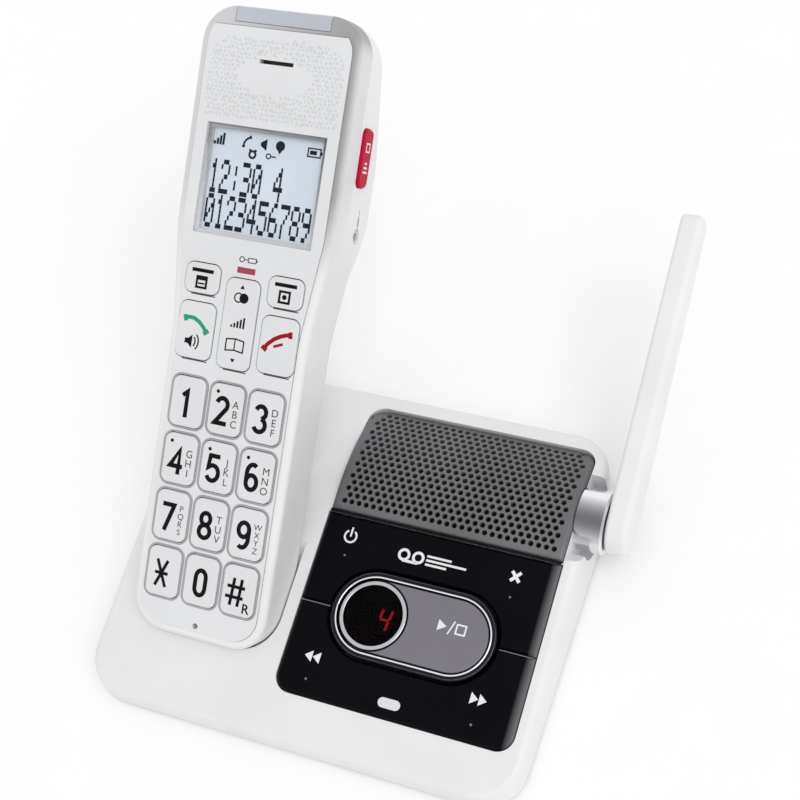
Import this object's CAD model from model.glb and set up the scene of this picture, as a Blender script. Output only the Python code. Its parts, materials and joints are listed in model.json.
# %% [markdown]
# # A desk answering machine with a big-button cordless handset
# The solids of the machine come ready-made, in metres, as one fixed frame. Here they get
# their finishes, and the fine things that a solid model leaves out: the holes of the
# loudspeaker grille, the printed digits, the display and the little signs on the keys.
# We load the frame first, because every new piece rides on one of its bodies.

# %% Load the frame
import json
import random
from math import atan2, ceil, cos, hypot, pi, radians, sin

import bmesh
import bpy
from mathutils import Matrix, Vector

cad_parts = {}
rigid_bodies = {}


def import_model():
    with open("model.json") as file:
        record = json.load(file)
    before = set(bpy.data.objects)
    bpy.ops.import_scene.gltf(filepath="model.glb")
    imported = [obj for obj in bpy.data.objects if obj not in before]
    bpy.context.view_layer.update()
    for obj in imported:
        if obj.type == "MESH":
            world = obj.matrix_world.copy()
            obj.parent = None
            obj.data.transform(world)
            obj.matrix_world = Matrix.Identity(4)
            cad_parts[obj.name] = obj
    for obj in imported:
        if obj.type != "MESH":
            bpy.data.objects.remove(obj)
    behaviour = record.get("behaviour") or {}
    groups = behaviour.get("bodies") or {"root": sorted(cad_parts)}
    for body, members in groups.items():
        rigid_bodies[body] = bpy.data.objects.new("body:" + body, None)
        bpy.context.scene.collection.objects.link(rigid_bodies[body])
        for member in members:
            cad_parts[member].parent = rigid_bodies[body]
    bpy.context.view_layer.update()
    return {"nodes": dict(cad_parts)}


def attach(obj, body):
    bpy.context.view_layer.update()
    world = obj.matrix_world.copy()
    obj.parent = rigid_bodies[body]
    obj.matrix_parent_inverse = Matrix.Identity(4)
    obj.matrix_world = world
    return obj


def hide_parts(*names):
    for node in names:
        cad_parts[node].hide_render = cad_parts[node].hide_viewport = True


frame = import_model()
room = bpy.context.scene.collection.objects
MM = 0.001
random.seed(7)

# %% [markdown]
# ## Where things are
# The handset lies back in its cradle and the key panel lies on a gentle slope. Work on
# either is easiest in its own flat coordinates: across, up along the surface, and out of
# it. A 4 by 4 matrix carries such a point, given in millimetres, into the room.

# %% Flat coordinates of the three faces that carry print
def face_matrix(origin, across, up, out):
    """Matrix from millimetres on a face to metres in the room."""
    columns = Matrix((across, up, out)).transposed().to_4x4()
    return Matrix.Translation(Vector(origin) * MM) @ columns @ Matrix.Scale(MM, 4)


LEAN = radians(55)
SLOPE = radians(10)
HANDSET_ORIGIN = Vector((-36.6, 0.15, 44.1))
PANEL_ORIGIN = Vector((28.5, -42.3, 12.704))
handset_up = Vector((0, sin(LEAN), cos(LEAN)))
handset_out = Vector((0, -cos(LEAN), sin(LEAN)))
handset_face = face_matrix(HANDSET_ORIGIN, (1, 0, 0), handset_up, handset_out)
panel_face = face_matrix(
    PANEL_ORIGIN, (1, 0, 0), (0, cos(SLOPE), sin(SLOPE)), (0, -sin(SLOPE), cos(SLOPE))
)
HEAD_HALF = 26.0
SIDE_DEPTH = 13.4
BOOST_UP = 106.0
side_origin = HANDSET_ORIGIN + Vector((HEAD_HALF, 0, 0)) + handset_up * BOOST_UP
side_face = face_matrix(
    side_origin - handset_out * SIDE_DEPTH, handset_up, handset_out, (1, 0, 0)
)
print("side key centre", [round(x, 4) for x in side_face.translation])

# %% [markdown]
# ## The camera
# A short telephoto lens looks down on the desk from the front right, rolled a little so
# that the machine runs across the picture. The camera's own axes are given as the three
# directions right, up and backwards, which are the columns of its matrix.

# %% Camera
LENS = 68.73
SENSOR = 36.0
camera_place = Vector((0.1672, -0.1562, 0.4289))
look = Vector((-0.3443, 0.4345, -0.8322)).normalized()
right = Vector((0.9197, 0.3343, -0.2059))
right = (right - look * right.dot(look)).normalized()
up = right.cross(look)
camera_data = bpy.data.cameras.new("camera")
camera_data.lens = LENS
camera_data.sensor_width = SENSOR
camera_data.clip_start = 0.01
camera = bpy.data.objects.new("camera", camera_data)
room.link(camera)
axes = Matrix((right, up, -look)).transposed().to_4x4()
camera.matrix_world = Matrix.Translation(camera_place) @ axes
bpy.context.scene.camera = camera
bpy.context.scene.view_settings.view_transform = "Standard"
print("camera", [round(x, 4) for x in camera_place], "lens", LENS)

# %% [markdown]
# ## Floor, air and light
# White plastic shows its form only by soft shade, so most of the light is an even white
# sky, and one wide, low-contrast sun gives the shade a direction. Rays that go straight
# to the lens, or that reach it by a mirror or through glass, see a sky of plain white.

# %% World
SKY_LIGHT = 0.80
BACKDROP = 1.0


def new_node(tree, kind, **values):
    """Add a node and set its plain values, by socket name."""
    node = tree.nodes.new(kind)
    for name, value in values.items():
        node.inputs[name.replace("_", " ")].default_value = value
    return node


def connect(tree, value, socket):
    """Feed a socket from a node's output, or give it a plain value."""
    if isinstance(value, bpy.types.NodeSocket):
        tree.links.new(value, socket)
    else:
        socket.default_value = value


def reckon(tree, operation, first, second):
    """One step of arithmetic between nodes."""
    node = tree.nodes.new("ShaderNodeMath")
    node.operation = operation
    connect(tree, first, node.inputs[0])
    connect(tree, second, node.inputs[1])
    return node.outputs[0]


world = bpy.data.worlds.new("studio")
world.use_nodes = True
bpy.context.scene.world = world
sky = world.node_tree
sky.nodes.clear()
rays = sky.nodes.new("ShaderNodeLightPath").outputs
mirrored = reckon(sky, "MAXIMUM", rays["Is Glossy Ray"], rays["Is Transmission Ray"])
seen = reckon(sky, "MAXIMUM", rays["Is Camera Ray"], mirrored)
glow = new_node(sky, "ShaderNodeBackground", Color=(1, 1, 1, 1), Strength=SKY_LIGHT)
plain = new_node(sky, "ShaderNodeBackground", Color=(1, 1, 1, 1), Strength=BACKDROP)
choose = sky.nodes.new("ShaderNodeMixShader")
sky.links.new(seen, choose.inputs[0])
sky.links.new(glow.outputs[0], choose.inputs[1])
sky.links.new(plain.outputs[0], choose.inputs[2])
output = sky.nodes.new("ShaderNodeOutputWorld")
sky.links.new(choose.outputs[0], output.inputs["Surface"])
print("sky", SKY_LIGHT, "backdrop", BACKDROP)

# %% Lamp
SUN_POWER = 0.78
SUN_SPREAD = radians(40)
sun_direction = Vector((-0.50, 0.25, -0.83))
sun_data = bpy.data.lights.new("soft_sun", "SUN")
sun_data.energy = SUN_POWER
sun_data.angle = SUN_SPREAD
sun = bpy.data.objects.new("soft_sun", sun_data)
sun.rotation_euler = sun_direction.to_track_quat("-Z", "Y").to_euler()
room.link(sun)
print("sun", SUN_POWER)

# %% [markdown]
# ## Moulded plastic
# Satin plastic isn't one flat colour. The tool that shaped it leaves a fine grain, and
# the surface is a hair glossier in some places than in others. Three noise textures make
# that: a slow one that moves the colour by a percent or so, one that moves the
# roughness, and a fine one that a Bump node turns into grain. The textures use object
# coordinates, so the grain has a real size and stays put when a piece moves.

# %% One maker of plastic finishes
def noise(tree, coordinates, scale, detail=3.0):
    """A noise texture whose cells are about 1/scale metres."""
    node = new_node(tree, "ShaderNodeTexNoise", Scale=scale, Detail=detail)
    tree.links.new(coordinates.outputs["Object"], node.inputs["Vector"])
    return node


def spread(tree, source, low, high):
    """Stretch a noise output onto the range from low to high."""
    node = new_node(
        tree, "ShaderNodeMapRange", From_Min=0.3, From_Max=0.7, To_Min=low, To_Max=high
    )
    tree.links.new(source.outputs["Fac"], node.inputs["Value"])
    return node


def ramp(tree, source, stops):
    """A colour ramp through stops, which are pairs of a position and a colour."""
    node = tree.nodes.new("ShaderNodeValToRGB")
    points = node.color_ramp.elements
    points[0].position = stops[0][0]
    points[1].position = stops[-1][0]
    for position, _ in stops[1:-1]:
        points.new(position)
    for point, (_, colour) in zip(points, stops):
        point.color = [*colour, 1]
    tree.links.new(source, node.inputs["Fac"])
    return node.outputs["Color"]


def finish(name, colour, rough, vary=0.03, grain=0.012, grain_size=0.25, plain=None):
    """A finish with a drifting colour, drifting roughness and a fine moulded grain.

    vary is the colour's share of change, grain the depth of the grain and grain_size its
    width, both in millimetres. plain holds sockets that are the same all over."""
    material = bpy.data.materials.new(name)
    material.use_nodes = True
    tree = material.node_tree
    shader = tree.nodes["Principled BSDF"]
    coordinates = tree.nodes.new("ShaderNodeTexCoord")
    drift = noise(tree, coordinates, 38.0)
    darker = [c * (1 - vary) for c in colour]
    paler = [min(1, c * (1 + vary)) for c in colour]
    drifting = ramp(tree, drift.outputs["Fac"], ((0.3, darker), (0.7, paler)))
    tree.links.new(drifting, shader.inputs["Base Color"])
    wear = spread(tree, noise(tree, coordinates, 120.0), rough * 0.82, min(1, rough * 1.18))
    tree.links.new(wear.outputs["Result"], shader.inputs["Roughness"])
    fine = noise(tree, coordinates, 1 / (grain_size * MM), 2.0)
    bump = new_node(tree, "ShaderNodeBump", Strength=0.35, Distance=grain * MM)
    tree.links.new(fine.outputs["Fac"], bump.inputs["Height"])
    tree.links.new(bump.outputs["Normal"], shader.inputs["Normal"])
    for socket, value in (plain or {}).items():
        shader.inputs[socket].default_value = value
    return material


GLOSS = {"Coat Weight": 0.6, "Coat Roughness": 0.05}
white_plastic = finish("white_plastic", (0.80, 0.80, 0.81), 0.42)
print("made", white_plastic.name)

# %% [markdown]
# ## The finishes of this machine
# The case and the handset are white satin plastic, the face of the handset a shade
# greyer. The key panel is polished black, the grille fine matt dark grey, the play key
# painted like gun metal, and the hinge of the antenna and the rings are plated. Metal is
# the same shader with Metallic at 1: its colour is then the colour of its reflection. A
# Layer Weight node darkens the hinge where it faces us, as polished metal in a bright room.

# %% Plastics and rubber
METAL = {"Metallic": 1.0}
face_plastic = finish("faceplate_plastic", (0.745, 0.75, 0.76), 0.40)
key_plastic = finish("key_plastic", (0.72, 0.725, 0.735), 0.36)
antenna_plastic = finish("antenna_plastic", (0.82, 0.82, 0.83), 0.45)
black_gloss = finish(
    "black_gloss", (0.0022, 0.0020, 0.0036), 0.16, 0.25, 0.001, 1.5,
    {"Specular IOR Level": 0.05},
)
dark_plastic = finish("dark_plastic", (0.014, 0.014, 0.016), 0.55, 0.15)
display_black = finish(
    "display_black", (0.0018, 0.0016, 0.002), 0.5, 0.3, plain={"Specular IOR Level": 0.05}
)
socket_grey = finish("socket_grey", (0.60, 0.60, 0.62), 0.4, 0.06)
bump_grey = finish("bump_grey", (0.65, 0.655, 0.665), 0.42)
grille_plastic = finish(
    "grille_plastic", (0.145, 0.140, 0.148), 0.42, 0.10, 0.03, 0.35,
    {"Metallic": 0.4, "Specular IOR Level": 0.5},
)
hole_cloth = finish("speaker_cloth", (0.004, 0.004, 0.005), 0.95, 0.3, 0.08, 0.4)
gunmetal = finish(
    "gunmetal_key", (0.185, 0.175, 0.205), 0.40, 0.05, 0.006, 0.12,
    {"Metallic": 0.35, "Specular IOR Level": 0.4},
)
foot_rubber = finish("foot_rubber", (0.03, 0.03, 0.03), 0.8, 0.15, 0.03)
key_rubber = finish("key_rubber", (0.45, 0.45, 0.47), 0.7)
red_plastic = finish(
    "red_plastic", (0.50, 0.004, 0.035), 0.35, 0.06, plain={"Specular IOR Level": 0.06},
)
indicator_red = finish("indicator_red", (0.33, 0.008, 0.05), 0.25, 0.05, plain=GLOSS)
board_green = finish("board_green", (0.02, 0.12, 0.05), 0.35, 0.1)
cell_wrap = finish("battery_wrap", (0.06, 0.25, 0.13), 0.35, 0.06)
print("plastics ready")

# %% [markdown]
# Two finishes change with the place. The black plates grow paler in the last millimetres
# at their right edge. The front shell of the handset has a greyer rim beside its face, in
# the head only. Both tones are mixed over the finish's own drifting colour.

# %% Tones that depend on the place
def along(tree, axis, low, high):
    """Grows from 0 to 1 between low and high, in metres along an axis of the piece."""
    place = tree.nodes.new("ShaderNodeSeparateXYZ")
    tree.links.new(tree.nodes["Texture Coordinate"].outputs["Object"], place.inputs[0])
    share = new_node(tree, "ShaderNodeMapRange", From_Min=low, From_Max=high)
    tree.links.new(place.outputs[axis], share.inputs["Value"])
    return share.outputs["Result"]


def blend(tree, share, first, second, way="MIX"):
    """Mix two colours; share, first and second are outputs or plain values."""
    node = tree.nodes.new("ShaderNodeMixRGB")
    node.blend_type = way
    for socket, value in (("Fac", share), ("Color1", first), ("Color2", second)):
        connect(tree, value, node.inputs[socket])
    return node.outputs["Color"]


def recolour(tree, colour):
    """Let another colour drive the finish."""
    tree.links.new(colour, tree.nodes["Principled BSDF"].inputs["Base Color"])


SHEEN_RUN = (0.0632, 0.0658)
SHEEN = (0.16, 0.16, 0.17, 1)
tree = black_gloss.node_tree
own_colour = tree.nodes["Color Ramp"].outputs["Color"]
recolour(tree, blend(tree, along(tree, "X", *SHEEN_RUN), own_colour, SHEEN))

RIM_HALF = 26.2
RIM_END = (0.97, 0.97, 0.97)
RIM_TONES = ((0.03, 0.82), (0.055, 0.78), (0.945, 0.40), (0.972, 0.48), (0.993, 0.80))
HEAD_RUN = (0.084, 0.097)
UNCHANGED = (1, 1, 1, 1)
shell_plastic = finish("shell_plastic", (0.80, 0.80, 0.81), 0.42)
tree = shell_plastic.node_tree
own_colour = tree.nodes["Color Ramp"].outputs["Color"]
rim_sides = [(HANDSET_ORIGIN.x + side * RIM_HALF) * MM for side in (-1, 1)]
rim_stops = [(place, (tone, tone, tone * 1.01)) for place, tone in RIM_TONES]
rim_stops = [(0.0, RIM_END), *rim_stops, (1.0, RIM_END)]
rim_tone = ramp(tree, along(tree, "X", *rim_sides), rim_stops)
tone_here = blend(tree, along(tree, "Z", *HEAD_RUN), UNCHANGED, rim_tone)
recolour(tree, blend(tree, 1.0, own_colour, tone_here, "MULTIPLY"))
print("placed tones ready")

# %% Metals, lenses and prints
bright_chrome = finish("bright_chrome", (0.82, 0.82, 0.85), 0.14, 0.02, 0.001, 1.0, METAL)
ring_chrome = finish("ring_chrome", (0.50, 0.50, 0.53), 0.22, 0.05, 0.001, 1.0, METAL)
dim_chrome = finish("dim_chrome", (0.16, 0.16, 0.175), 0.3, 0.05, 0.001, 1.0, METAL)
smoked_chrome = finish("smoked_chrome", (0.018, 0.017, 0.022), 0.2, 0.1, 0.001, 1.0, METAL)
knuckle_chrome = finish("knuckle_chrome", (0.50, 0.50, 0.52), 0.16, 0.04, 0.002, 0.8, METAL)
tree = knuckle_chrome.node_tree
facing = new_node(tree, "ShaderNodeLayerWeight", Blend=0.5)
bands = ((0.02, (0.16, 0.16, 0.17)), (0.34, (0.86, 0.86, 0.88)))
recolour(tree, ramp(tree, facing.outputs["Facing"], bands))
screw_steel = finish("screw_steel", (0.5, 0.5, 0.5), 0.3, 0.08, 0.004, 0.2, METAL)
contact_gold = finish("contact_metal", (0.75, 0.58, 0.28), 0.22, 0.05, 0.002, 0.3, METAL)
smoke_lens = finish(
    "smoke_lens", (0.47, 0.50, 0.56), 0.22, 0.04, 0.004, 0.8,
    {"Coat Weight": 0.5, "Subsurface Weight": 0.15, "Subsurface Scale": 0.002},
)
pale_lens = finish("pale_lens", (0.70, 0.70, 0.72), 0.3, 0.03, plain=GLOSS)
MATT = {"Specular IOR Level": 0.08}
ink = finish("ink_black", (0.005, 0.005, 0.007), 0.42, 0.3, 0.003, 0.1, MATT)
ink_grey = finish("ink_grey", (0.07, 0.07, 0.075), 0.45, 0.15, 0.003, 0.1, MATT)
seam_grey = finish("seam_grey", (0.36, 0.36, 0.37), 0.5, 0.08, 0.003, 0.1, MATT)
ink_white = finish("ink_white", (0.80, 0.80, 0.82), 0.42, 0.03, 0.003, 0.1)
dim_print = finish("dim_print", (0.17, 0.17, 0.18), 0.45, 0.1, 0.003, 0.1, MATT)
ink_green = finish("ink_green", (0.02, 0.33, 0.17), 0.42, 0.06, 0.003, 0.1, MATT)
ink_red = finish("ink_red", (0.33, 0.006, 0.016), 0.42, 0.06, 0.003, 0.1, MATT)
lcd_sheet = finish("lcd_sheet", (0.75, 0.82, 0.91), 0.5, 0.02, 0.002, 0.4)
lcd_ink = finish("lcd_ink", (0.006, 0.009, 0.020), 0.5, 0.2, 0.001, 0.3, MATT)
print("metals, lenses and inks ready")

# %% [markdown]
# ## Clear windows
# A thin flat window doesn't bend what is behind it, it only tints it and mirrors the
# room. So the finish is a Mix Shader: Fresnel sends a few percent to a Glossy shader and
# the rest through a tinted Transparent one, which also lets lamps light what is behind.
# Seen from inside, the cut edges of the pane would be strong mirrors, so Backfacing
# switches the mirror off there.

# %% One maker of thin windows
def window_finish(name, tint, rough, gloss):
    """A thin pane: tint is what it lets through, gloss how much of the mirror shows."""
    material = bpy.data.materials.new(name)
    material.use_nodes = True
    tree = material.node_tree
    tree.nodes.clear()
    coordinates = tree.nodes.new("ShaderNodeTexCoord")
    smear = noise(tree, coordinates, 60.0)
    through = tree.nodes.new("ShaderNodeBsdfTransparent")
    darker = [c * 0.97 for c in tint]
    paler = [min(1, c * 1.03) for c in tint]
    haze = ramp(tree, smear.outputs["Fac"], ((0.0, darker), (1.0, paler)))
    tree.links.new(haze, through.inputs["Color"])
    mirror = tree.nodes.new("ShaderNodeBsdfGlossy")
    mirror.inputs["Color"].default_value = (gloss, gloss, gloss, 1)
    wipe = spread(tree, smear, rough * 0.8, rough * 1.3)
    tree.links.new(wipe.outputs["Result"], mirror.inputs["Roughness"])
    edge = new_node(tree, "ShaderNodeFresnel", IOR=1.45)
    side = tree.nodes.new("ShaderNodeNewGeometry")
    outside = reckon(tree, "SUBTRACT", 1.0, side.outputs["Backfacing"])
    share = reckon(tree, "MULTIPLY", edge.outputs[0], outside)
    mix = tree.nodes.new("ShaderNodeMixShader")
    tree.links.new(share, mix.inputs[0])
    tree.links.new(through.outputs[0], mix.inputs[1])
    tree.links.new(mirror.outputs[0], mix.inputs[2])
    result = tree.nodes.new("ShaderNodeOutputMaterial")
    tree.links.new(mix.outputs[0], result.inputs["Surface"])
    return material


display_glass = window_finish("display_glass", (0.42, 0.30, 0.32), 0.04, 0.10)
lcd_glass = window_finish("lcd_glass", (0.985, 0.99, 0.995), 0.05, 0.35)
print("windows ready")

# %% [markdown]
# ## Dressing the ready-made pieces
# A node of the frame keeps its mesh. Only the material in its slot is swapped, so one
# table from finish to pieces is enough.

# %% Give every node its finish
DRESS = {
    white_plastic: "base_top_shell base_bottom_cover handset_back_shell battery_door "
                   "cradle_arms",
    shell_plastic: "handset_front_shell",
    face_plastic: "faceplate",
    key_plastic: "key_0 key_1 key_2 key_3 key_4 key_5 key_6 key_7 key_8 key_9 key_star "
                 "key_hash talk_key end_key soft_key_left soft_key_right nav_key",
    antenna_plastic: "antenna",
    black_gloss: "lower_key_plate upper_key_plate",
    dark_plastic: "panel_tray line_socket power_jack loudspeaker ringer_speaker "
                  "microphone earpiece_receiver tact_switches",
    display_black: "digit_display",
    socket_grey: "headset_socket",
    grille_plastic: "speaker_grille",
    gunmetal: "play_stop_key",
    foot_rubber: "rubber_feet",
    key_rubber: "key_mat",
    red_plastic: "boost_key",
    indicator_red: "indicator_lens",
    board_green: "base_circuit_board handset_circuit_board",
    cell_wrap: "battery_pack",
    ring_chrome: "display_ring",
    smoked_chrome: "capsule_ring",
    knuckle_chrome: "antenna_knuckle",
    screw_steel: "case_screws handset_screws antenna_pin battery_springs",
    contact_gold: "charging_contacts handset_charge_contacts",
    smoke_lens: "ringer_lens",
    pale_lens: "in_use_lens",
    display_glass: "display_window",
    lcd_glass: "lcd_window",
    lcd_sheet: "lcd_module",
}
dressed = 0
for material, names in DRESS.items():
    for name in names.split():
        node = frame["nodes"][name]
        node.data.materials.clear()
        node.data.materials.append(material)
        dressed += 1
print("dressed", dressed, "of", len(frame["nodes"]))

# %% [markdown]
# ## The floor
# One large pale sheet.

# %% Floor
FLOOR_HALF = 4.0
floor_paper = finish("floor_paper", (0.99, 0.99, 0.99), 0.9, 0.004, 0.02, 1.5)
floor_mesh = bpy.data.meshes.new("floor")
floor_signs = ((-1, -1), (1, -1), (1, 1), (-1, 1))
floor_corners = [(FLOOR_HALF * x, FLOOR_HALF * y, 0) for x, y in floor_signs]
floor_mesh.from_pydata(floor_corners, [], [(0, 1, 2, 3)])
floor = bpy.data.objects.new("floor", floor_mesh)
floor.data.materials.append(floor_paper)
room.link(floor)
print("floor", 2 * FLOOR_HALF, "m")

# %% [markdown]
# ## Thin raised print
# Print on plastic is a very thin layer of ink. It could be painted in the material, but
# then every sign would need its own image. Here each sign is real: flat shapes drawn in
# millimetres, raised by a few hundredths and laid on the key. A line is a ribbon whose
# two edges follow its path, so a digit is a few ribbons of one width.

# %% Drawing helpers
INK = 0.03
SINK = 0.02


def add_piece(name, mesh, material, body, place=None):
    """Link a mesh as one piece of the machine that rides on a body."""
    if place is not None:
        mesh.transform(place)
    piece = bpy.data.objects.new(name, mesh)
    piece.data.materials.append(material)
    room.link(piece)
    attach(piece, body)
    return piece


def ribbon(points, width, closed=False):
    """Quads along a path, width wide, with mitred corners."""
    points = [Vector(p) for p in points]
    count = len(points)
    rails = []
    for i, here in enumerate(points):
        before = points[i - 1] if i or closed else None
        after = points[(i + 1) % count] if i < count - 1 or closed else None
        into = (here - before).normalized() if before is not None else None
        out = (after - here).normalized() if after is not None else into
        into = out if into is None else into
        bisector = into + out
        bisector = bisector.normalized() if bisector.length > 1e-6 else out
        reach = width / 2 / max(0.45, bisector.dot(out))
        sideways = Vector((-bisector.y, bisector.x)) * reach
        rails.append((here + sideways, here - sideways))
    last = count if closed else count - 1
    pairs = [(rails[i], rails[(i + 1) % count]) for i in range(last)]
    return [[a[1], b[1], b[0], a[0]] for a, b in pairs]


def oval(x, y, rx, ry, start=0, end=360, steps=20):
    """Points along an oval, angles in degrees from the right, turning left."""
    turns = [radians(start + (end - start) * i / steps) for i in range(steps + 1)]
    return [(x + rx * cos(t), y + ry * sin(t)) for t in turns]


def ring(x, y, rx, ry, width):
    """A closed oval line."""
    return ribbon(oval(x, y, rx, ry)[:-1], width, True)


def disc(x, y, r):
    """A filled circle."""
    return [oval(x, y, r, r)[:-1]]


def block(x, y, half_x, half_y):
    """A filled rectangle."""
    return [[(x - half_x, y - half_y), (x + half_x, y - half_y),
             (x + half_x, y + half_y), (x - half_x, y + half_y)]]


def box_outline(x, y, half_x, half_y, width):
    """A rectangular line."""
    return ribbon(block(x, y, half_x, half_y)[0], width, True)


def rounded_box(x, y, half_x, half_y, corner, steps=6):
    """Points round a rectangle with rounded corners."""
    points = []
    for turn, side_x, side_y in ((0, 1, 1), (90, -1, 1), (180, -1, -1), (270, 1, -1)):
        middle_x = x + side_x * (half_x - corner)
        middle_y = y + side_y * (half_y - corner)
        points += oval(middle_x, middle_y, corner, corner, turn, turn + 90, steps)
    return points


def shift(shapes, x, y, scale=1.0):
    """Move and scale a list of shapes."""
    return [[(x + scale * p[0], y + scale * p[1]) for p in shape] for shape in shapes]


def shape_mesh(name, shapes, low, high):
    """Flat shapes in millimetres turned into thin closed slabs from low to high."""
    drawing = bmesh.new()
    for index, shape in enumerate(shapes):
        lift = 0.0004 * (index % 7)
        corners = [drawing.verts.new((p[0], p[1], low + lift)) for p in shape]
        drawing.faces.new(corners)
    bmesh.ops.remove_doubles(drawing, verts=drawing.verts, dist=0.0002)
    grown = bmesh.ops.extrude_face_region(drawing, geom=drawing.faces[:])
    raised = [part for part in grown["geom"] if isinstance(part, bmesh.types.BMVert)]
    bmesh.ops.translate(drawing, verts=raised, vec=(0, 0, high - low))
    bmesh.ops.recalc_face_normals(drawing, faces=drawing.faces)
    mesh = bpy.data.meshes.new(name)
    drawing.to_mesh(mesh)
    drawing.free()
    return mesh


def print_on(name, shapes, face, height, body, material, thickness=INK):
    """Lay shapes on a face at a height above it, in millimetres."""
    mesh = shape_mesh(name, shapes, height - SINK, height + thickness)
    return add_piece(name, mesh, material, body, face)


print("drawing helpers ready")

# %% [markdown]
# ## The digits
# The numbers are large and narrow, about 8 mm tall with strokes of 1.3 mm, so that they
# can be read at arm's length. Each is drawn from straight runs and parts of ovals. The
# dial keys also carry the small letters that every telephone has.

# %% Digits as paths
DIGIT_LINE = 1.3
DIGIT_SCALE = 1.06
DIGIT_PATHS = {
    "0": [oval(0, 1.5, 1.6, 2.1, 0, 180, 12) + oval(0, -1.5, 1.6, 2.1, 180, 360, 12)],
    "1": [[(-1.0, 2.1), (0.45, 3.4), (0.45, -4.1)]],
    "2": [oval(0, 1.75, 1.7, 1.85, 165, -35, 12) + [(-1.75, -3.55), (1.95, -3.55)]],
    "3": [oval(-0.05, 1.85, 1.6, 1.75, 160, -80, 12), oval(-0.05, -1.75, 1.75, 1.85, 80, -160, 12)],
    "4": [[(2.1, -1.75), (-1.9, -1.75), (0.85, 3.1), (0.85, -4.1)]],
    "5": [[(1.8, 3.55), (-1.25, 3.55), (-1.6, 0.1)] + oval(-0.1, -1.35, 1.85, 2.2, 125, -155, 14)],
    "6": [oval(0.1, 1.0, 1.75, 2.6, 55, 185, 10) + [(-1.65, -1.5)], oval(0, -1.5, 1.65, 2.05)[:-1]],
    "7": [[(-1.9, 3.55), (1.8, 3.55), (-0.6, -4.1)]],
    "8": [oval(0, 1.9, 1.45, 1.7)[:-1], oval(0, -1.75, 1.7, 1.85)[:-1]],
    "9": [oval(-0.1, -1.0, 1.75, 2.6, 235, 365, 10) + [(1.65, 1.5)], oval(0, 1.5, 1.65, 2.05)[:-1]],
    "star": [[(-1.7, 3.9), (1.7, -3.9)], [(1.7, 3.9), (-1.7, -3.9)], [(-2.1, 0), (2.1, 0)]],
    "hash": [
        [(-0.9, -4.0), (-0.3, 4.0)], [(1.5, -4.0), (2.1, 4.0)],
        [(-2.3, 1.5), (3.3, 1.5)], [(-2.6, -1.5), (3.0, -1.5)],
    ],
}
CLOSED = {("0", 0), ("6", 1), ("8", 0), ("8", 1), ("9", 1)}
THIN_LINE = 0.95


def digit_shapes(name):
    """The ribbons of one digit, around its own middle."""
    line = THIN_LINE if name in ("star", "hash") else DIGIT_LINE
    shapes = []
    for index, points in enumerate(DIGIT_PATHS[name]):
        shapes += ribbon(points, line, (name, index) in CLOSED)
    return shapes


print("digits", len(DIGIT_PATHS))

# %% Small letters
LETTERS = {
    "2": "ABC", "3": "DEF", "4": "GHI", "5": "JKL", "6": "MNO", "7": "PQRS", "8": "TUV",
    "9": "WXYZ",
}


def mesh_of(curve):
    """The mesh of a curve or a text, by way of an object that is dropped again."""
    holder = bpy.data.objects.new(curve.name, curve)
    room.link(holder)
    bpy.context.view_layer.update()
    mesh = bpy.data.meshes.new_from_object(holder)
    bpy.data.objects.remove(holder)
    return mesh


def letter_mesh(text, size, spacing, place, bold=0.0):
    """A column of letters as one thin mesh, from the font that is built in."""
    curve = bpy.data.curves.new("letters", "FONT")
    curve.body = "\n".join(text)
    curve.size = size
    curve.space_line = spacing
    curve.align_x = "CENTER"
    curve.align_y = "CENTER"
    curve.offset = bold
    curve.extrude = (INK + SINK) / 2
    mesh = mesh_of(curve)
    mesh.transform(Matrix.Translation(place))
    return mesh


KEY_PITCH = 13.0
ROW_PITCH = 17.6
KEY_TOP = 0.7
ROWS = ["1 2 3", "4 5 6", "7 8 9", "star 0 hash"]
key_centre = {}
for row, names in enumerate(ROWS):
    for column, name in enumerate(names.split()):
        key_centre[name] = ((column - 1) * KEY_PITCH, (1.5 - row) * ROW_PITCH)
print("key rows", len(ROWS), "first key at", key_centre["1"])

# %% Print the twelve dial keys
DIGIT_SHIFT = {"1": -0.6, "0": 0.0, "4": -0.8, "star": -0.5, "hash": -1.4}
USUAL_SHIFT = -1.15
DIGIT_DROP = -0.45
LETTER_COLUMN = 3.3
LETTER_DROP = 1.0
LETTER_HEIGHT = KEY_TOP + (INK - SINK) / 2
RECALL_PLACE = (KEY_PITCH + 3.0, -1.5 * ROW_PITCH - 5.0, LETTER_HEIGHT)
DOT_PLACE = (-3.1, 5.2)


def print_key(name, shapes, body, material=ink):
    """Lay signs on the top of a key of the handset."""
    return print_on(name, shapes, handset_face, KEY_TOP, body, material)


for name, (x, y) in key_centre.items():
    body = f"key_{name}_button"
    middle = x + DIGIT_SHIFT.get(name, USUAL_SHIFT)
    signs = shift(digit_shapes(name), middle, y + DIGIT_DROP, DIGIT_SCALE)
    if name in "2456":
        signs += disc(x + DOT_PLACE[0], y + DOT_PLACE[1], 0.55)
    print_key(f"digit_{name}", signs, body)
    if name in LETTERS:
        size = 2.6 if len(LETTERS[name]) > 3 else 3.2
        place = (x + LETTER_COLUMN, y - LETTER_DROP, LETTER_HEIGHT)
        mesh = letter_mesh(LETTERS[name], size, 0.92, place)
        add_piece(f"letters_{name}", mesh, ink_grey, body, handset_face)
recall = letter_mesh("R", 4.2, 1, RECALL_PLACE, 0.06)
add_piece("recall_mark", recall, ink, "key_hash_button", handset_face)
print("dial keys printed", len(key_centre))

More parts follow.
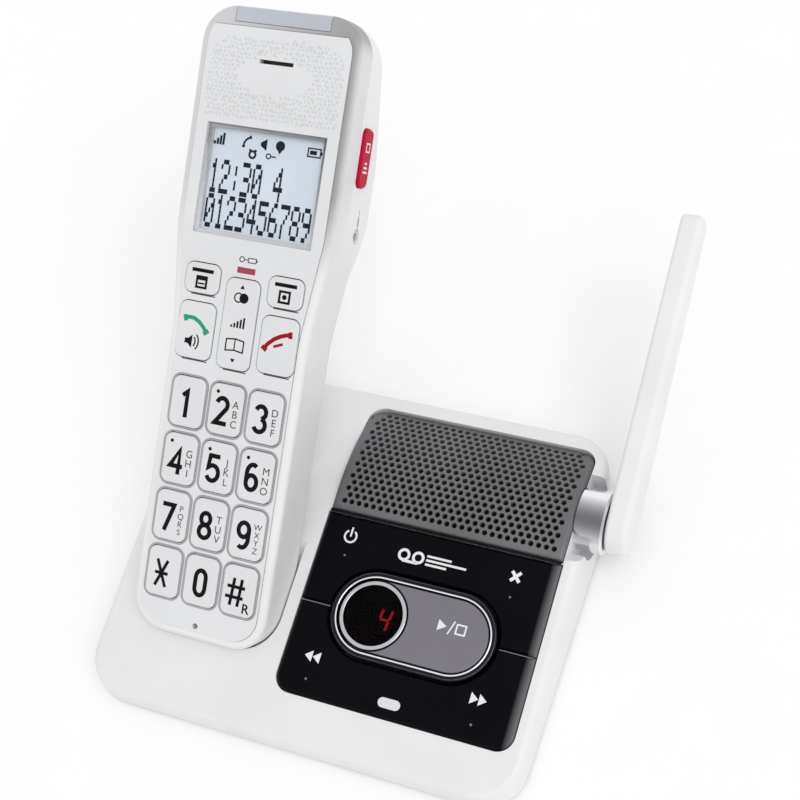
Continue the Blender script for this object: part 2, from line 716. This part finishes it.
# %% Soft lines round the keys
KEY_HALF = (5.5, 7.6)
KEY_CORNER = 2.4
LINE_OUT = 0.62
LINE_WIDTH = 0.5
LINE_INK = 0.01
SIDE_COLUMN = 13.8
UNDER_SIDE_KEYS = ((58.85, 4.1), (39.15, 4.2))
UNDER_ROCKER = (0.0, 38.25, 3.8)
UNDERLINE_SHIFT = 0.8
UNDERLINE_HALF = 0.16
line_half = [half + LINE_OUT for half in KEY_HALF]
outlines = []
for x, y in key_centre.values():
    frame_line = rounded_box(x, y, *line_half, KEY_CORNER + LINE_OUT)
    outlines += ribbon(frame_line, LINE_WIDTH, True)
print_on("key_outlines", outlines, handset_face, 0.0, "handset", seam_grey,
         LINE_INK)
lines = [(side * SIDE_COLUMN, up, half) for up, half in UNDER_SIDE_KEYS for side in (-1, 1)]
underlines = []
for x, y, half in [*lines, UNDER_ROCKER]:
    underlines += block(x + UNDERLINE_SHIFT, y, half, UNDERLINE_HALF)
print_on("key_underlines", underlines, handset_face, 0.0, "handset", ink_grey,
         LINE_INK)
print("outlined", len(key_centre), "keys, underlined", len(underlines))

# %% [markdown]
# ## Signs on the function keys
# Talk is a green receiver with a loudspeaker below it, end a red receiver that hangs up.
# The rocker in the middle changes the volume and opens the phone book, so it has two
# discs, a wedge of bars and an open book between two arrows.

# %% Small signs
def receiver(points, line, cup):
    """A telephone receiver: a curved grip with a thicker cup at each end."""
    first = Vector(points[0])
    last = Vector(points[-1])
    lead = (Vector(points[1]) - first).normalized() * cup
    trail = (last - Vector(points[-2])).normalized() * cup
    shapes = ribbon(points, line)
    shapes += ribbon([first - lead * 0.3, first + lead], line * 1.6)
    shapes += ribbon([last - trail, last + trail * 0.3], line * 1.6)
    return shapes


def loudspeaker_sign(x, y, s):
    """A small loudspeaker with two waves."""
    cone = [(x - s, y - 0.35 * s), (x - 0.5 * s, y - 0.35 * s), (x + 0.1 * s, y - 0.9 * s)]
    cone += [(x + 0.1 * s, y + 0.9 * s), (x - 0.5 * s, y + 0.35 * s), (x - s, y + 0.35 * s)]
    waves = ribbon(oval(x, y, 0.6 * s, 0.8 * s, -50, 50, 6), 0.2 * s)
    waves += ribbon(oval(x, y, 1.1 * s, 1.3 * s, -50, 50, 6), 0.2 * s)
    return [cone] + waves


def triangle(x, y, half, tall):
    """A filled triangle with its point up, or down if tall is negative."""
    corners = [(x - half, y - tall / 2), (x + half, y - tall / 2), (x, y + tall / 2)]
    return [corners if tall > 0 else corners[::-1]]


TALK_UP = 48.1
SOFT_UP = 63.8
ROCKER_UP = 52.2
print("sign helpers ready")

# %% Talk, end and soft keys
talk_arc = [(-3.9, 3.2), (-2.4, 3.7), (-0.6, 3.6), (1.2, 2.7), (2.8, 1.3), (4.0, -0.3)]
end_arc = [(-4.3, -1.5), (-3.1, 0.3), (-1.2, 2.0), (0.8, 3.1), (2.5, 3.7), (4.1, 3.9)]
talk_shapes = shift(receiver(talk_arc, 1.2, 1.0), -SIDE_COLUMN, TALK_UP)
print_key("talk_receiver", talk_shapes, "talk_key_button", ink_green)
talk_speaker = loudspeaker_sign(-SIDE_COLUMN - 0.7, TALK_UP - 3.4, 2.2)
print_key("talk_speaker", talk_speaker, "talk_key_button")
end_shapes = receiver(end_arc, 1.2, 1.0) + ribbon([(-1.2, -0.3), (1.7, 0.9)], 0.8)
print_key("end_receiver", shift(end_shapes, SIDE_COLUMN, TALK_UP), "end_key_button", ink_red)
for side, name in ((-1, "left"), (1, "right")):
    x = side * SIDE_COLUMN
    signs = block(x, SOFT_UP + 2.3, 3.6, 0.55) + box_outline(x, SOFT_UP - 1.2, 1.6, 1.6, 0.7)
    if side < 0:
        signs += block(x, SOFT_UP - 0.2, 1.3, 0.4) + block(x, SOFT_UP - 1.6, 1.1, 0.25)
    else:
        signs += disc(x, SOFT_UP - 1.2, 0.75)
    print_key(f"soft_marks_{name}", signs, f"soft_key_{name}_button")
print("function keys printed")

# %% Rocker key
rocker = triangle(0, ROCKER_UP + 11.2, 0.75, 1.2) + triangle(0, ROCKER_UP - 10.9, 0.75, -1.2)
rocker += ring(-0.9, ROCKER_UP + 7.9, 1.3, 1.35, 0.4) + disc(0.9, ROCKER_UP + 7.9, 1.5)
for step in range(5):
    tall = 0.35 + 0.32 * step
    rocker += block(-2.0 + step, ROCKER_UP + 0.2 + tall - 1.2, 0.3, tall)
page = [(0, -1.5), (2.9, -1.9), (2.9, 1.5), (0, 1.9), (-2.9, 1.5), (-2.9, -1.9)]
book = ribbon(page, 0.42, True) + ribbon([(0, -1.5), (0, 1.9)], 0.35)
rocker += shift(book, 0, ROCKER_UP - 6.2)
print_key("rocker_marks", rocker, "nav_rocker")
CHARGE_UP = 71.4
charge = ring(-1.9, CHARGE_UP, 0.75, 0.75, 0.28) + block(-0.6, CHARGE_UP, 0.6, 0.14)
charge += box_outline(1.5, CHARGE_UP, 1.3, 0.65, 0.28) + block(3.05, CHARGE_UP, 0.2, 0.3)
print_on("charge_sign", charge, handset_face, 0.0, "handset", ink_grey)
print("rocker printed")

# %% [markdown]
# ## The display of the handset
# A liquid crystal display is a pale sheet with black dots that switch on. It lies 2.8 mm
# behind the face, so its frame throws the soft shade that makes it look deep. The
# characters are built dot by dot from small patterns, seven rows of five.

# %% Dot characters
DOTS = {
    "0": "01110 10001 10011 10101 11001 10001 01110",
    "1": "00100 01100 00100 00100 00100 00100 01110",
    "2": "01110 10001 00001 00110 01000 10000 11111",
    "3": "11110 00001 00001 01110 00001 00001 11110",
    "4": "00010 00110 01010 10010 11111 00010 00010",
    "5": "11111 10000 11110 00001 00001 10001 01110",
    "6": "00110 01000 10000 11110 10001 10001 01110",
    "7": "11111 00001 00010 00100 01000 01000 01000",
    "8": "01110 10001 10001 01110 10001 10001 01110",
    "9": "01110 10001 10001 01111 00001 00010 01100",
    ":": "00000 00100 00100 00000 00100 00100 00000",
    " ": "00000 00000 00000 00000 00000 00000 00000",
}
LCD_UP = 93.5
LCD_DEPTH = -2.8
DOT_STEP = (0.60, 1.45)
DOT_HALF = (0.30, 0.70)
CHARACTER_STEP = 3.56


def dot_line(text, left, bottom):
    """The lit dots of a line of characters."""
    dots = []
    for place, character in enumerate(text):
        for row, cells in enumerate(DOTS[character].split()):
            for column, lit in enumerate(cells):
                if lit == "1":
                    x = left + place * CHARACTER_STEP + column * DOT_STEP[0]
                    y = bottom + (6 - row) * DOT_STEP[1]
                    dots += block(x, y, *DOT_HALF)
    return dots


LINE_START = -17.7
lcd_dots = dot_line("12:30 4", LINE_START, LCD_UP - 3.4)
lcd_dots += dot_line("0123456789", LINE_START, LCD_UP - 13.8)
print("lit dots", len(lcd_dots))

# %% Signs along the top of the display
TOP_LINE = LCD_UP + 12.0
LOW_LINE = LCD_UP + 8.6
lcd_signs = []
for step in range(4):
    tall = 0.5 + 0.42 * step
    lcd_signs += block(-17.8 + 0.95 * step, TOP_LINE - 1.8 + tall, 0.36, tall)
call = [(-1.3, -1.5), (-1.2, -0.2), (-0.4, 0.9), (0.9, 1.6)]
lcd_signs += shift(receiver(call, 0.6, 0.5), -6.9, TOP_LINE)
horn = [(-2.6, -0.5), (-0.6, -1.7), (-0.6, 1.7), (-2.6, 0.5)]
lcd_signs += shift([horn], 0, TOP_LINE)
lcd_signs += disc(3.8, TOP_LINE + 0.2, 1.5) + triangle(3.8, TOP_LINE - 1.5, 0.9, -1.4)
lcd_signs += ring(-4.9, LOW_LINE, 1.0, 1.0, 0.65) + disc(-5.8, LOW_LINE + 1.2, 0.38)
lcd_signs += disc(-4.0, LOW_LINE + 1.2, 0.38)
lcd_signs += ring(0.4, LOW_LINE + 0.2, 0.7, 0.7, 0.35) + block(1.9, LOW_LINE + 0.2, 0.9, 0.2)
lcd_signs += box_outline(14.9, TOP_LINE - 0.3, 2.0, 1.2, 0.4) + block(14.6, TOP_LINE - 0.3, 1.1, 0.6)
lcd_signs += block(17.3, TOP_LINE - 0.3, 0.2, 0.5)
print_on("lcd_marks", lcd_dots + lcd_signs, handset_face, LCD_DEPTH, "handset",
         lcd_ink, 0.05)
print("display drawn")

# %% [markdown]
# ## The grain of the earpiece
# Round the sound slot the face is moulded with hundreds of tiny bumps, except on an oval
# pad in the middle. One mesh holds them all. A seeded random shift keeps the rows from
# looking ruled, and each bump is a low closed cone with a rounded shoulder.

# %% Bumps
def bump_field(name, spots, radius, tall, sides=8):
    """Many low bumps in one mesh. spots are (across, up) in millimetres."""
    points, faces = [], []
    for x, y in spots:
        first = len(points)
        grow = random.uniform(0.75, 1.15)
        points.append((x, y, tall * grow))
        for level, share in ((0.62 * tall * grow, 0.6), (-SINK, 1.0)):
            for side in range(sides):
                turn = 2 * pi * side / sides
                points.append((x + radius * grow * share * cos(turn),
                               y + radius * grow * share * sin(turn), level))
        inner, outer = first + 1, first + 1 + sides
        for side in range(sides):
            after = (side + 1) % sides
            faces.append((first, inner + side, inner + after))
            faces.append((inner + side, outer + side, outer + after, inner + after))
        faces.append(tuple(outer + side for side in reversed(range(sides))))
    mesh = bpy.data.meshes.new(name)
    mesh.from_pydata(points, [], faces)
    return mesh


PAD = (0.0, 124.6, 12.0, 5.6)
SLOT = (0.0, 129.0, 6.6, 1.6)
GRAIN_STEP = 1.30
GRAIN_ROWS = 19
GRAIN_COLUMNS = 17
GRAIN_BOTTOM = 112.6
GRAIN_HALF = 21.6
GRAIN_CORNER = (13.4, 127.4, 8.4)
STRAY = 0.3
BUMP_RADIUS = 0.46
BUMP_TALL = 0.26
spots = []
for row in range(GRAIN_ROWS):
    for column in range(-GRAIN_COLUMNS, GRAIN_COLUMNS + 1):
        x = (column + 0.5 * (row % 2)) * GRAIN_STEP + random.uniform(-STRAY, STRAY)
        y = GRAIN_BOTTOM + row * GRAIN_STEP + random.uniform(-STRAY, STRAY)
        outside_pad = hypot((x - PAD[0]) / PAD[2], (y - PAD[1]) / PAD[3]) > 1
        outside_slot = abs(x) > SLOT[2] or abs(y - SLOT[1]) > SLOT[3]
        past_x = max(0, abs(x) - GRAIN_CORNER[0])
        past_y = max(0, y - GRAIN_CORNER[1])
        in_corner = hypot(past_x, past_y) < GRAIN_CORNER[2]
        if outside_pad and outside_slot and in_corner and abs(x) < GRAIN_HALF:
            spots.append((x, y))
grain_mesh = bump_field("earpiece_grain", spots, BUMP_RADIUS, BUMP_TALL)
add_piece("earpiece_grain", grain_mesh, bump_grey, "handset", handset_face)
print("bumps", len(spots))

# %% [markdown]
# ## The loudspeaker grille
# The real grille is one dark moulding, domed from front to back, with several hundred
# small round holes in staggered rows. Holes painted on a material would look flat from
# the side, so they are cut here: a flat sheet of hexagonal cells, each a ring of faces
# round its hole, is trimmed to the outline, bent over the dome and given its wall.

# %% The dome's profile
GRILLE_X = (-8.6, 66.0)
GRILLE_FRONT, GRILLE_BACK = (14.2, 23.4), (52.4, 20.3)
GRILLE_CORNER = 5.0
SEAT_HEIGHT = 16.5
CROWN_HEIGHT = (GRILLE_FRONT[1] + GRILLE_BACK[1]) / 2 + 3.8
CROWN_MIDDLE = ((GRILLE_FRONT[0] + GRILLE_BACK[0]) / 2, CROWN_HEIGHT)


def circle_through(a, b, c):
    """Centre and radius of the circle through three points."""
    ax, ay, bx, by, cx, cy = *a, *b, *c
    d = 2 * (ax * (by - cy) + bx * (cy - ay) + cx * (ay - by))
    a2, b2, c2 = ax * ax + ay * ay, bx * bx + by * by, cx * cx + cy * cy
    x = (a2 * (by - cy) + b2 * (cy - ay) + c2 * (ay - by)) / d
    y = (a2 * (cx - bx) + b2 * (ax - cx) + c2 * (bx - ax)) / d
    return (x, y), hypot(ax - x, ay - y)


dome_centre, dome_radius = circle_through(GRILLE_FRONT, CROWN_MIDDLE, GRILLE_BACK)
front_angle = atan2(GRILLE_FRONT[1] - dome_centre[1], GRILLE_FRONT[0] - dome_centre[0])
back_angle = atan2(GRILLE_BACK[1] - dome_centre[1], GRILLE_BACK[0] - dome_centre[0])
dome_length = dome_radius * (front_angle - back_angle)
corner_run = GRILLE_CORNER / sin(back_angle)
print("dome radius", round(dome_radius, 2), "length", round(dome_length, 2))


# %% Where a flat point ends up, and how far it is from the edge
def over_dome(x, s, drop=0.0):
    """Room place, in millimetres, of the flat point x across and s along the dome.

    drop lowers it towards the dome's middle."""
    angle = front_angle - s / dome_radius
    reach = dome_radius - drop
    return Vector((x, dome_centre[0] + reach * cos(angle), dome_centre[1] + reach * sin(angle)))


def edge_gap(x, s):
    """Distance from a flat point to the outline, whose two back corners are round."""
    side = min(x - GRILLE_X[0], GRILLE_X[1] - x)
    back = dome_length - s
    if side < GRILLE_CORNER and back < corner_run:
        squeezed = (corner_run - back) * GRILLE_CORNER / corner_run
        return GRILLE_CORNER - hypot(GRILLE_CORNER - side, squeezed)
    return min(side, back, s)


HOLE_STEP = 2.42
ROW_STEP = HOLE_STEP * 0.866
HOLE_RADIUS = 0.84
BORDER = 1.7
FRONT_BORDER = 1.8
print("gap at the middle", round(edge_gap(28.7, dome_length / 2), 1))

# %% Sheet of cells
HOLE_SIDES = 12


def hexagon_edge(turn):
    """Distance from a cell's middle to its six-sided edge, in the direction turn."""
    folded = (turn + pi / 6) % (pi / 3) - pi / 6
    return HOLE_STEP / 2 / cos(folded)


def add_cell(sheet, x, s, open_hole):
    """One hexagonal cell, with or without its hole."""
    turns = [2 * pi * i / HOLE_SIDES for i in range(HOLE_SIDES)]
    rim = [sheet.verts.new((x + hexagon_edge(t) * cos(t), s + hexagon_edge(t) * sin(t), 0))
           for t in turns]
    if not open_hole:
        sheet.faces.new(rim)
        return
    hole = [sheet.verts.new((x + HOLE_RADIUS * cos(t), s + HOLE_RADIUS * sin(t), 0)) for t in turns]
    for i in range(HOLE_SIDES):
        j = (i + 1) % HOLE_SIDES
        sheet.faces.new((hole[i], rim[i], rim[j], hole[j]))


sheet = bmesh.new()
holes = 0
row_count = ceil((dome_length + 2 * HOLE_STEP) / ROW_STEP) + 1
column_count = ceil((GRILLE_X[1] - GRILLE_X[0]) / HOLE_STEP) + 2
for row in range(row_count):
    for column in range(column_count):
        x = GRILLE_X[0] - HOLE_STEP / 2 + (column + 0.5 * (row % 2)) * HOLE_STEP
        s = -HOLE_STEP / 2 + row * ROW_STEP
        inside = edge_gap(x, s) > BORDER + HOLE_RADIUS and s > FRONT_BORDER + HOLE_RADIUS
        add_cell(sheet, x, s, inside)
        holes += inside
bmesh.ops.remove_doubles(sheet, verts=sheet.verts, dist=0.01)
print("holes", holes)

# %% Trim the sheet, and score lines where its border will bend down
EDGE_ROUND = 1.2
EDGE_STEPS = 4
TANGENTS = 8


def cut(inset, discard):
    """Cut along the outline moved in by inset, with straight cuts and, at the round
    corners, with tangents; discard drops what is outside."""
    lines = [
        (GRILLE_X[0] + inset, 0, -1, 0, None), (GRILLE_X[1] - inset, 0, 1, 0, None),
        (0, inset, 0, -1, None), (0, dome_length - inset, 0, 1, None),
    ]
    for way, edge in ((-1, GRILLE_X[0]), (1, GRILLE_X[1])):
        for step in range(TANGENTS):
            turn = pi / 2 * (step + 0.5) / TANGENTS
            reach_x, reach_s = GRILLE_CORNER - inset, corner_run - inset
            x = edge - way * GRILLE_CORNER + way * reach_x * cos(turn)
            s = dome_length - corner_run + reach_s * sin(turn)
            lines.append((x, s, way * cos(turn) / reach_x, sin(turn) / reach_s, (way, edge)))
    for x, s, normal_x, normal_s, corner in lines:
        faces = sheet.faces[:]
        if corner is not None:
            way, edge = corner
            faces = [f for f in faces if all(
                way * (v.co.x - edge) > -GRILLE_CORNER - 0.5
                and v.co.y > dome_length - corner_run - 0.5 for v in f.verts)]
        parts = list({part for f in faces for part in (*f.verts, *f.edges, f)})
        bmesh.ops.bisect_plane(sheet, geom=parts, plane_co=(x, s, 0),
                               plane_no=(normal_x, normal_s, 0), clear_outer=discard)


cut(0.002, True)
for level in range(1, EDGE_STEPS + 1):
    cut(EDGE_ROUND * (1 - cos(pi / 2 * level / EDGE_STEPS)), False)
outer = [e for e in sheet.edges if e.is_boundary
         and all(edge_gap(v.co.x, v.co.y) < 0.1 for v in e.verts)]
print("faces", len(sheet.faces), "edges on the outline", len(outer))

# %% Bend, add the side walls and the thickness
GRILLE_WALL = 1.3


def rim_drop(x, s):
    """How far the rounded border falls below the dome at a flat point."""
    gap = min(EDGE_ROUND, max(0, edge_gap(x, s)))
    return EDGE_ROUND - (EDGE_ROUND**2 - (EDGE_ROUND - gap) ** 2) ** 0.5


for vertex in sheet.verts:
    x, s = vertex.co.x, vertex.co.y
    vertex.co = over_dome(x, s, rim_drop(x, s))
skirt = bmesh.ops.extrude_edge_only(sheet, edges=outer)
for vertex in [part for part in skirt["geom"] if isinstance(part, bmesh.types.BMVert)]:
    vertex.co.z = SEAT_HEIGHT
bmesh.ops.recalc_face_normals(sheet, faces=sheet.faces)
highest = max(sheet.faces, key=lambda face: face.calc_center_median().z)
if highest.normal.z < 0:
    bmesh.ops.reverse_faces(sheet, faces=sheet.faces)
for edge in sheet.edges:
    edge.smooth = not edge.is_boundary
for face in sheet.faces:
    face.smooth = True
grille_mesh = bpy.data.meshes.new("grille_shell")
sheet.to_mesh(grille_mesh)
sheet.free()
to_metres = Matrix.Scale(MM, 4)
grille = add_piece(
    "grille_shell", grille_mesh, grille_plastic, "base", to_metres
)
wall = grille.modifiers.new("wall", "SOLIDIFY")
wall.thickness = GRILLE_WALL * MM
wall.offset = -1
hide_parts("speaker_grille")
print("grille faces", len(grille_mesh.polygons))

# %% [markdown]
# Behind the holes lies a piece of black cloth that keeps dust out of the loudspeaker.
# Without it the white case would shine through.

# %% Dust cloth
CLOTH_DROP = 2.2
CLOTH_STEPS = 12
CLOTH_FRONT = 1.8
CLOTH_INSET = 2.6
CLOTH_WEAVE = 0.3
cloth_length = dome_length - CLOTH_FRONT - CLOTH_INSET
cloth_points, cloth_faces = [], []
for i in range(CLOTH_STEPS + 1):
    s = CLOTH_FRONT + cloth_length * i / CLOTH_STEPS
    for x in (GRILLE_X[0] + CLOTH_INSET, GRILLE_X[1] - CLOTH_INSET):
        cloth_points.append(over_dome(x, s, CLOTH_DROP))
for i in range(CLOTH_STEPS):
    cloth_faces.append((2 * i, 2 * i + 1, 2 * i + 3, 2 * i + 2))
cloth_mesh = bpy.data.meshes.new("dust_cloth")
cloth_mesh.from_pydata(cloth_points, [], cloth_faces)
cloth = add_piece("dust_cloth", cloth_mesh, hole_cloth, "base", to_metres)
cloth_wall = cloth.modifiers.new("weave", "SOLIDIFY")
cloth_wall.thickness = CLOTH_WEAVE * MM
print("cloth strips", CLOTH_STEPS)

# %% [markdown]
# ## Signs on the key panel
# The black plates carry white signs: standby, a tape reel, delete, back and forward.
# They ride on the plate that they are printed on, because the plates rock when pressed.

# %% Panel signs
def print_panel(name, shapes, body, material):
    """Lay signs on the key panel."""
    return print_on(name, shapes, panel_face, 0.0, body, material)


standby = ribbon(oval(-28.3, 50.1, 1.9, 1.9, 122, 418, 18), 0.6) + block(-28.3, 51.5, 0.3, 1.5)
reels = ring(-10.0, 48.5, 1.55, 1.55, 0.85) + ring(-5.4, 48.5, 1.55, 1.55, 0.85)
reels += block(-7.7, 46.75, 2.4, 0.42)
for line, length in enumerate((3.9, 6.4, 3.4)):
    reels += block(-2.8 + length, 49.7 - 1.3 * line, length, 0.34)
cross = ribbon([(23.8, 48.4), (26.6, 51.4)], 1.0) + ribbon([(23.8, 51.4), (26.6, 48.4)], 1.0)
print_panel("upper_signs", standby + reels + cross, "upper_rocker", ink_white)
upper_dots = disc(-28.3, 44.0, 0.36) + disc(25.2, 43.6, 0.36)
print_panel("upper_dots", upper_dots, "upper_rocker", dim_print)


def arrows(x, y, way):
    """Two triangles side by side that point left (-1) or right (1)."""
    shapes = []
    for step in (-1, 1):
        tip = x + way * (1.3 * step + 1.35)
        root = x + way * (1.3 * step - 1.05)
        corners = [(root, y - 1.75), (tip, y), (root, y + 1.75)]
        shapes.append(corners if way > 0 else corners[::-1])
    return shapes


lower_signs = arrows(-28.0, 11.9, -1) + arrows(24.5, 12.4, 1)
print_panel("lower_signs", lower_signs, "lower_rocker", ink_white)
lower_dots = disc(-28.0, 5.0, 0.40) + disc(24.5, 5.0, 0.40)
lower_dots += block(-32.4, 27.85, 4.8, 0.17) + block(31.6, 27.85, 5.2, 0.14)
print_panel("lower_dots", lower_dots, "lower_rocker", dim_print)
head_seam = block(0, 57.0, 37.3, 0.42)
print_panel("panel_head_seam", head_seam, "base", ink)
print("panel printed")

# %% Play and stop
KEY_RISE = 0.9
play = [[(6.8, 28.7), (9.5, 30.4), (6.8, 32.1)]] + ribbon([(10.3, 28.3), (11.7, 32.5)], 0.45)
play += box_outline(14.0, 30.4, 1.4, 1.4, 0.5)
print_on("play_stop_sign", play, panel_face, KEY_RISE, "play_key", ink_white)
print("play key printed")

# %% [markdown]
# ## The message counter
# Behind the smoked window a red digit glows. It is made of the seven bars of a counter,
# slanted a little. Only the lit bars are drawn.

# %% Lit digit
GLOW = (0.75, 0.012, 0.02)
GLOW_STRENGTH = 0.42
COUNTER = (-10.1, 27.9)
COUNTER_DEPTH = -0.48
BAR = 0.8
BAR_X = 1.5
BAR_Y = 3.1
SLANT = 0.14
bars = {"f": ((-BAR_X, 0.3), (-BAR_X, BAR_Y)), "g": ((-1.4, 0), (1.4, 0)),
        "b": ((BAR_X, 0.3), (BAR_X, BAR_Y)), "c": ((BAR_X, -0.3), (BAR_X, -BAR_Y))}
four = []
for start, end in bars.values():
    slanted = [(COUNTER[0] + x + SLANT * y, COUNTER[1] + y) for x, y in (start, end)]
    four += ribbon(slanted, BAR)
glow_red = finish(
    "digit_red", GLOW, 0.4, 0.05,
    plain={"Emission Color": (*GLOW, 1), "Emission Strength": GLOW_STRENGTH},
)
print_on("message_digit", four, panel_face, COUNTER_DEPTH, "base", glow_red, 0.01)
print("lit bars", len(four))

# %% [markdown]
# ## The edges of the oval ring
# The ring round the play key is plated dark. Its inner edge catches the light as a thin
# bright line and its outer edge as a dim one. Two wires along those edges make them sure.
# Each is a path with a round bevel, turned into a mesh.

# %% Wires
def wire(name, points, face, height, radius, material, body):
    """A closed wire along flat points."""
    curve = bpy.data.curves.new(name, "CURVE")
    curve.dimensions = "3D"
    spline = curve.splines.new("POLY")
    spline.points.add(len(points) - 1)
    for point, (x, y) in zip(spline.points, points):
        point.co = (x, y, height, 1)
    spline.use_cyclic_u = True
    curve.bevel_depth = radius
    curve.bevel_resolution = 3
    return add_piece(name, mesh_of(curve), material, body, face)


CAPSULE = (-0.8, 28.2)
OUTER_EDGE = (25.6, 12.9)
INNER_EDGE = (24.4, 11.7)


def capsule_line(half_x, half_y):
    """Points along an oval with straight sides, round the middle of the panel."""
    return rounded_box(*CAPSULE, half_x, half_y, half_y - 0.001, 16)


wire("ring_edge_outer", capsule_line(*OUTER_EDGE), panel_face, 0.58, 0.22,
     dim_chrome, "base")
wire("ring_edge_inner", capsule_line(*INNER_EDGE), panel_face, 0.66, 0.30,
     bright_chrome, "base")
print("ring edges laid")

# %% [markdown]
# ## Marks on the side of the handset
# The red key on the side makes the call louder. It has a small square and a few bars. A
# little plug shows where a headset goes in.

# %% Side marks
BOOST_RISE = 0.9
boost = box_outline(3.2, 0.0, 1.2, 1.2, 0.45)
for step in range(3):
    boost += block(-1.4 - 1.3 * step, 0.0, 0.32, 0.8 + 0.35 * step)
print_on("boost_marks", boost, side_face, BOOST_RISE, "boost_button", ink_white)
plug = ribbon([(-20.6, -3.0), (-15.0, -3.0)], 0.35) + block(-18.6, -3.0, 1.2, 0.5)
plug += disc(-20.9, -3.0, 0.42)
print_on("plug_sign", plug, side_face, 0.0, "handset", seam_grey)
print("side marked")
